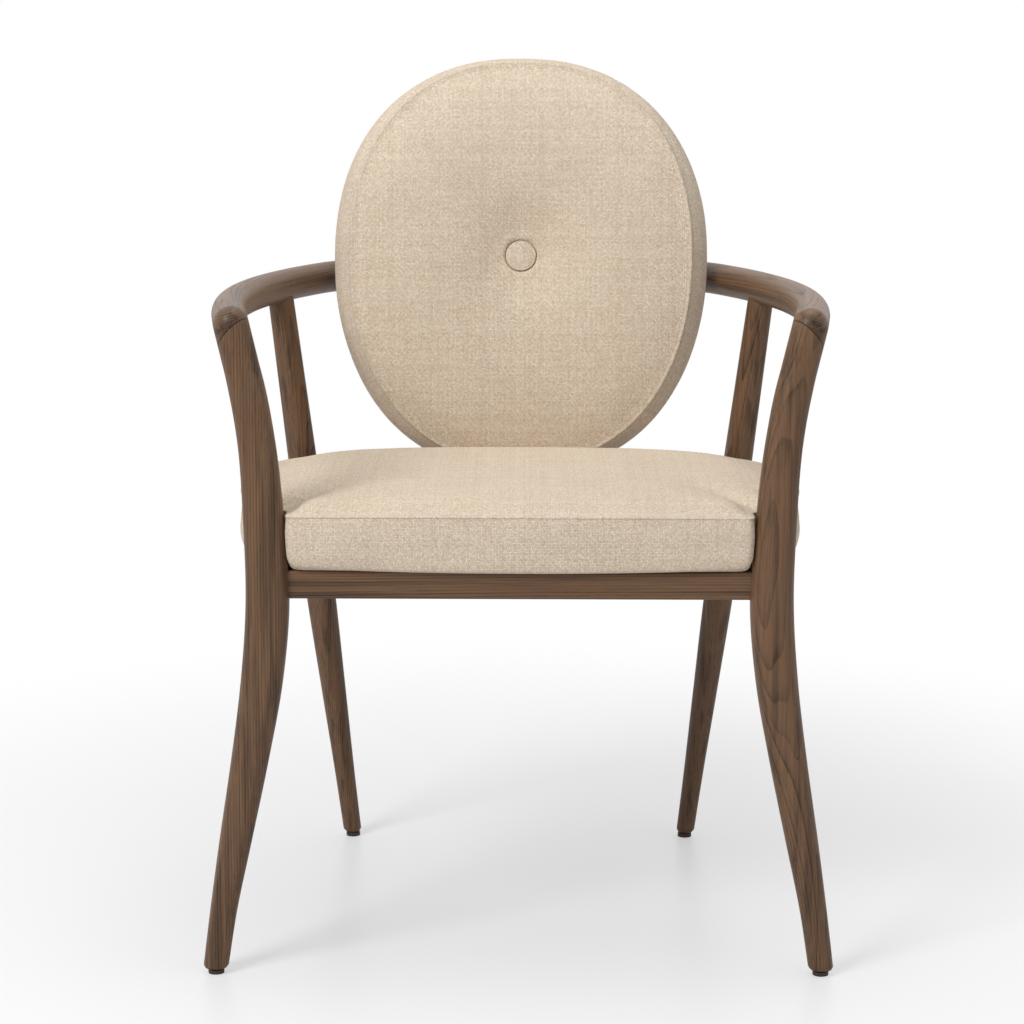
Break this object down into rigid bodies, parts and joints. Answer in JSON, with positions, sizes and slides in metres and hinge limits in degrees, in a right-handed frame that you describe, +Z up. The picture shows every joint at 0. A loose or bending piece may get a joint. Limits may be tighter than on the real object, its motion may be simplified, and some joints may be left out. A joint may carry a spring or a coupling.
{
  "type": "horseshoe back armchair",
  "caption": "Dining armchair with a horseshoe arm rail that flows into splayed front legs, raked rear legs, a thick seat cushion notched round the legs and an oval back with a tufted button.",
  "frame": {"origin": "middle of the chair's outline on the floor", "axes": "+X towards the sitter's left as seen from the front (the right of the picture), +Y from the front of the chair to its back, +Z up"},
  "size_m": [0.6318, 0.6026, 0.9006],
  "materials": {
    "walnut_stain": "satin walnut stain on open-pored ash",
    "beech": "raw",
    "plywood": "raw plywood",
    "upholstery": "warm beige woven upholstery cloth",
    "foam": "open-cell foam and fibre wadding",
    "lining": "black non-woven lining and waxed twine",
    "glide_plastic": "dark brown moulded",
    "steel": "zinc plated",
    "black_steel": "black powder coat"
  },
  "bodies": {
    "root": {"arm_rail_right": "walnut_stain", "arm_rail_left": "walnut_stain", "arm_rail_bow": "walnut_stain", "rail_joint_dowels": "beech", "front_leg_right": "walnut_stain", "front_leg_left": "walnut_stain", "rear_leg_right": "walnut_stain", "rear_leg_left": "walnut_stain", "front_leg_dowels": "beech", "rear_leg_dowels": "beech", "front_seat_rail": "walnut_stain", "rear_seat_rail": "walnut_stain", "side_seat_rail_right": "walnut_stain", "side_seat_rail_left": "walnut_stain", "seat_rail_dowels": "beech", "corner_block_front_right": "beech", "corner_block_front_left": "beech", "corner_block_rear_right": "beech", "corner_block_rear_left": "beech", "corner_block_screws": "steel", "seat_screws": "steel", "glide_front_right": "glide_plastic", "glide_front_left": "glide_plastic", "glide_rear_right": "glide_plastic", "glide_rear_left": "glide_plastic", "glide_nails": "steel", "seat_panel": "plywood", "seat_foam": "foam", "seat_cover_border": "upholstery", "seat_cover_top": "upholstery", "seat_dust_cover": "lining", "back_panel": "plywood", "back_foam": "foam", "back_wadding": "foam", "back_cover_front": "upholstery", "back_cover_rear": "upholstery", "back_cover_border": "upholstery", "back_button": "upholstery", "button_twine": "lining", "back_spacer_right": "walnut_stain", "back_spacer_left": "walnut_stain", "back_bolts": "steel", "back_t_nuts": "steel", "back_bracket": "black_steel", "bracket_screws": "steel", "bracket_bolts": "steel"}
  },
  "joints": []
}
